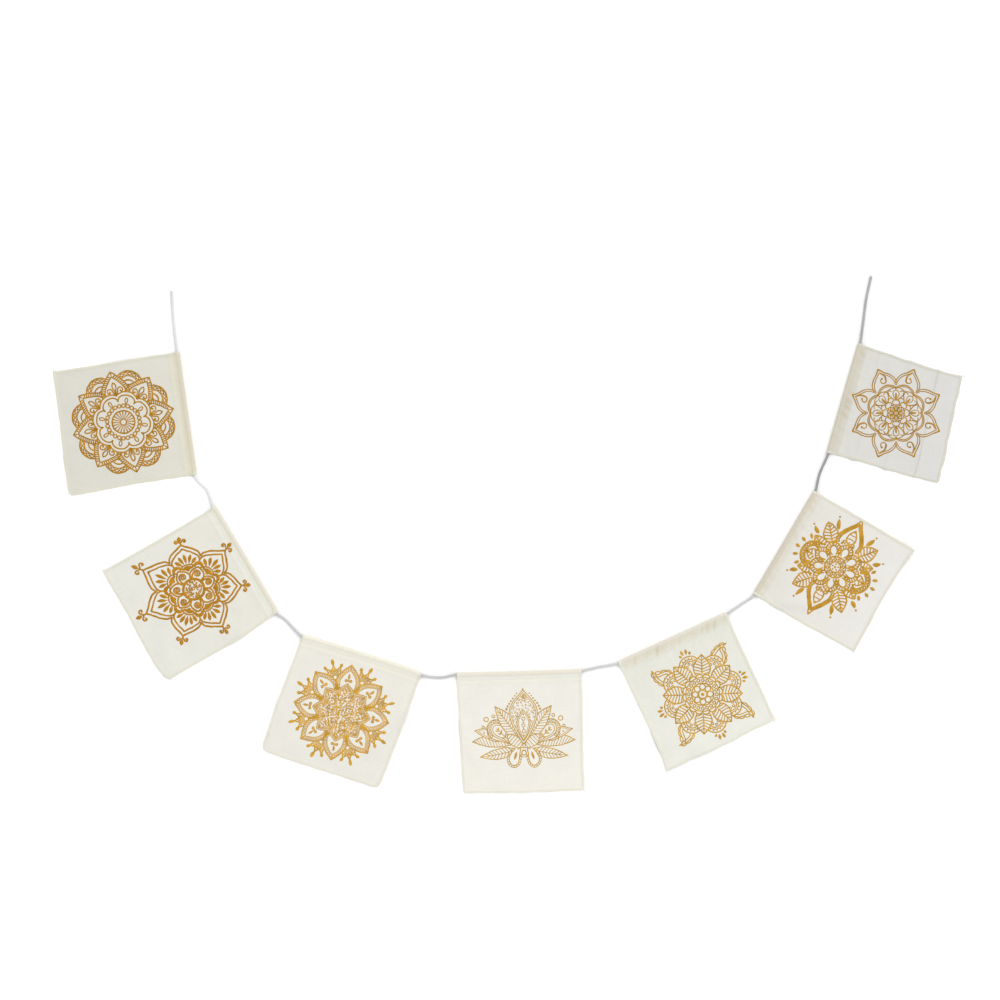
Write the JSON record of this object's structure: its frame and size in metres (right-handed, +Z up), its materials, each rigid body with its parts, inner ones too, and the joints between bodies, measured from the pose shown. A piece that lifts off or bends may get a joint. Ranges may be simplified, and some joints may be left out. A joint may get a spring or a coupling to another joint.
{
  "type": "string of flag bunting",
  "caption": "Square cotton flags with gold printed motifs, strung on a thin cord through stitched casings and laid flat in a wide U.",
  "frame": {"origin": "on the surface, under the middle of the box round the flags", "axes": "+X from the left end of the U to its right end, +Y from the middle flag to the U's open side, +Z up from the surface"},
  "size_m": [1.091, 0.6201, 0.0058],
  "materials": {
    "cotton": "plain-woven unbleached cotton, matt",
    "cord": "twisted white-grey cotton cord"
  },
  "bodies": {
    "root": {"cord": "cord", "flag_1": "cotton", "flag_2": "cotton", "flag_3": "cotton", "flag_4": "cotton", "flag_5": "cotton", "flag_6": "cotton", "flag_7": "cotton"}
  },
  "joints": []
}
